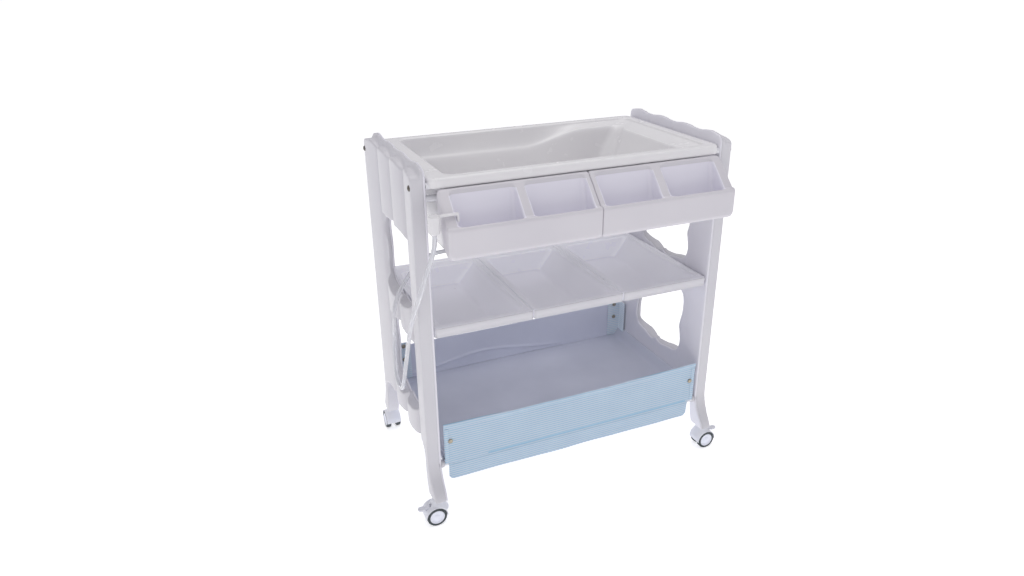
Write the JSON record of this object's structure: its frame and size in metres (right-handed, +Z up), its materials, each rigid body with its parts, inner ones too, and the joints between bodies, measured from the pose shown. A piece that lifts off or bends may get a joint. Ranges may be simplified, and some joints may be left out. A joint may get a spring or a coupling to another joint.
{
  "type": "changing table",
  "caption": "Baby changing table on castors with a bath tub on top, front organiser bins, a shelf of drop-in trays and a cloth basket below.",
  "frame": {"origin": "on the floor, in the middle of the whole object's footprint", "axes": "+X to the right along the table's length, +Y to the rear, +Z up"},
  "size_m": [0.873, 0.5656, 0.8804],
  "materials": {
    "white_plastic": "satin-gloss moulded polypropylene",
    "white_tube": "white powder coat",
    "steel": "dark zinc",
    "snap_metal": "antique brass",
    "drain_white": "gloss",
    "plug_rubber": "soft matt",
    "hose": "translucent soft vinyl",
    "cap_plastic": "satin",
    "striped_cloth": "pale blue, fine stripes",
    "lining_cloth": "pale grey smooth lining",
    "stem_steel": "zinc",
    "castor_white": "satin nylon",
    "hub_plastic": "satin",
    "tyre": "matt dark grey"
  },
  "bodies": {
    "frame": {"left_panel_inner": "white_plastic", "left_panel_outer": "white_plastic", "right_panel_inner": "white_plastic", "right_panel_outer": "white_plastic", "tub": "white_plastic", "bin_left": "white_plastic", "bin_right": "white_plastic", "tube_collars": "white_plastic", "top_rail_front": "white_tube", "top_rail_rear": "white_tube", "shelf_rail_front": "white_tube", "shelf_rail_rear": "white_tube", "base_tube_front": "white_tube", "base_tube_rear": "white_tube", "bin_rail": "white_tube", "panel_bolts": "steel", "rail_inserts": "steel", "basket_snaps": "snap_metal", "drain_outlet": "drain_white", "drain_nut": "drain_white", "drain_hose": "hose", "hose_cap": "cap_plastic", "hose_hook": "cap_plastic", "basket_front": "striped_cloth", "basket_skirt": "striped_cloth", "basket_straps": "striped_cloth", "basket_floor": "lining_cloth", "basket_rear": "lining_cloth", "castor_front_left_stem": "stem_steel", "castor_front_right_stem": "stem_steel", "castor_rear_left_stem": "stem_steel", "castor_rear_right_stem": "stem_steel"},
    "tray_left": {"tray_left": "white_plastic"},
    "tray_middle": {"tray_middle": "white_plastic"},
    "tray_right": {"tray_right": "white_plastic"},
    "drain_plug": {"drain_plug": "plug_rubber"},
    "swivel_front_left": {"castor_front_left_hood": "castor_white", "castor_front_left_axle": "stem_steel"},
    "wheels_front_left": {"castor_front_left_hubs": "hub_plastic", "castor_front_left_tyres": "tyre"},
    "brake_front_left": {"castor_front_left_pedal": "castor_white"},
    "swivel_front_right": {"castor_front_right_hood": "castor_white", "castor_front_right_axle": "stem_steel"},
    "wheels_front_right": {"castor_front_right_hubs": "hub_plastic", "castor_front_right_tyres": "tyre"},
    "brake_front_right": {"castor_front_right_pedal": "castor_white"},
    "swivel_rear_left": {"castor_rear_left_hood": "castor_white", "castor_rear_left_axle": "stem_steel"},
    "wheels_rear_left": {"castor_rear_left_hubs": "hub_plastic", "castor_rear_left_tyres": "tyre"},
    "brake_rear_left": {"castor_rear_left_pedal": "castor_white"},
    "swivel_rear_right": {"castor_rear_right_hood": "castor_white", "castor_rear_right_axle": "stem_steel"},
    "wheels_rear_right": {"castor_rear_right_hubs": "hub_plastic", "castor_rear_right_tyres": "tyre"},
    "brake_rear_right": {"castor_rear_right_pedal": "castor_white"}
  },
  "joints": [
    {"name": "tray_left_lift", "type": "slide", "parent": "frame", "child": "tray_left", "axis": [0, 0, 1], "range_m": [0, 0.045]},
    {"name": "tray_middle_lift", "type": "slide", "parent": "frame", "child": "tray_middle", "axis": [0, 0, 1], "range_m": [0, 0.08]},
    {"name": "tray_right_lift", "type": "slide", "parent": "frame", "child": "tray_right", "axis": [0, 0, 1], "range_m": [0, 0.08]},
    {"name": "plug_pull", "type": "slide", "parent": "frame", "child": "drain_plug", "axis": [0, 0, 1], "range_m": [0, 0.03]},
    {"name": "front_left_swivel", "type": "hinge", "parent": "frame", "child": "swivel_front_left", "pos_m": [-0.383, -0.20875, 0], "axis": [0, 0, 1], "continuous": true},
    {"name": "front_left_roll", "type": "hinge", "parent": "swivel_front_left", "child": "wheels_front_left", "pos_m": [-0.394, -0.20875, 0.025], "axis": [0, -1, 0], "continuous": true},
    {"name": "front_left_brake", "type": "hinge", "parent": "swivel_front_left", "child": "brake_front_left", "pos_m": [-0.409, -0.20875, 0.046], "axis": [0, -1, 0], "range_deg": [0, 12]},
    {"name": "front_right_swivel", "type": "hinge", "parent": "frame", "child": "swivel_front_right", "pos_m": [0.383, -0.20875, 0], "axis": [0, 0, 1], "continuous": true},
    {"name": "front_right_roll", "type": "hinge", "parent": "swivel_front_right", "child": "wheels_front_right", "pos_m": [0.394, -0.20875, 0.025], "axis": [0, 1, 0], "continuous": true},
    {"name": "front_right_brake", "type": "hinge", "parent": "swivel_front_right", "child": "brake_front_right", "pos_m": [0.409, -0.20875, 0.046], "axis": [0, 1, 0], "range_deg": [0, 12]},
    {"name": "rear_left_swivel", "type": "hinge", "parent": "frame", "child": "swivel_rear_left", "pos_m": [-0.383, 0.22925, 0], "axis": [0, 0, 1], "continuous": true},
    {"name": "rear_left_roll", "type": "hinge", "parent": "swivel_rear_left", "child": "wheels_rear_left", "pos_m": [-0.383, 0.24025, 0.025], "axis": [-1, 0, 0], "continuous": true},
    {"name": "rear_left_brake", "type": "hinge", "parent": "swivel_rear_left", "child": "brake_rear_left", "pos_m": [-0.383, 0.25525, 0.046], "axis": [-1, 0, 0], "range_deg": [0, 12]},
    {"name": "rear_right_swivel", "type": "hinge", "parent": "frame", "child": "swivel_rear_right", "pos_m": [0.383, 0.22925, 0], "axis": [0, 0, 1], "continuous": true},
    {"name": "rear_right_roll", "type": "hinge", "parent": "swivel_rear_right", "child": "wheels_rear_right", "pos_m": [0.383, 0.24025, 0.025], "axis": [-1, 0, 0], "continuous": true},
    {"name": "rear_right_brake", "type": "hinge", "parent": "swivel_rear_right", "child": "brake_rear_right", "pos_m": [0.383, 0.25525, 0.046], "axis": [-1, 0, 0], "range_deg": [0, 12]}
  ]
}
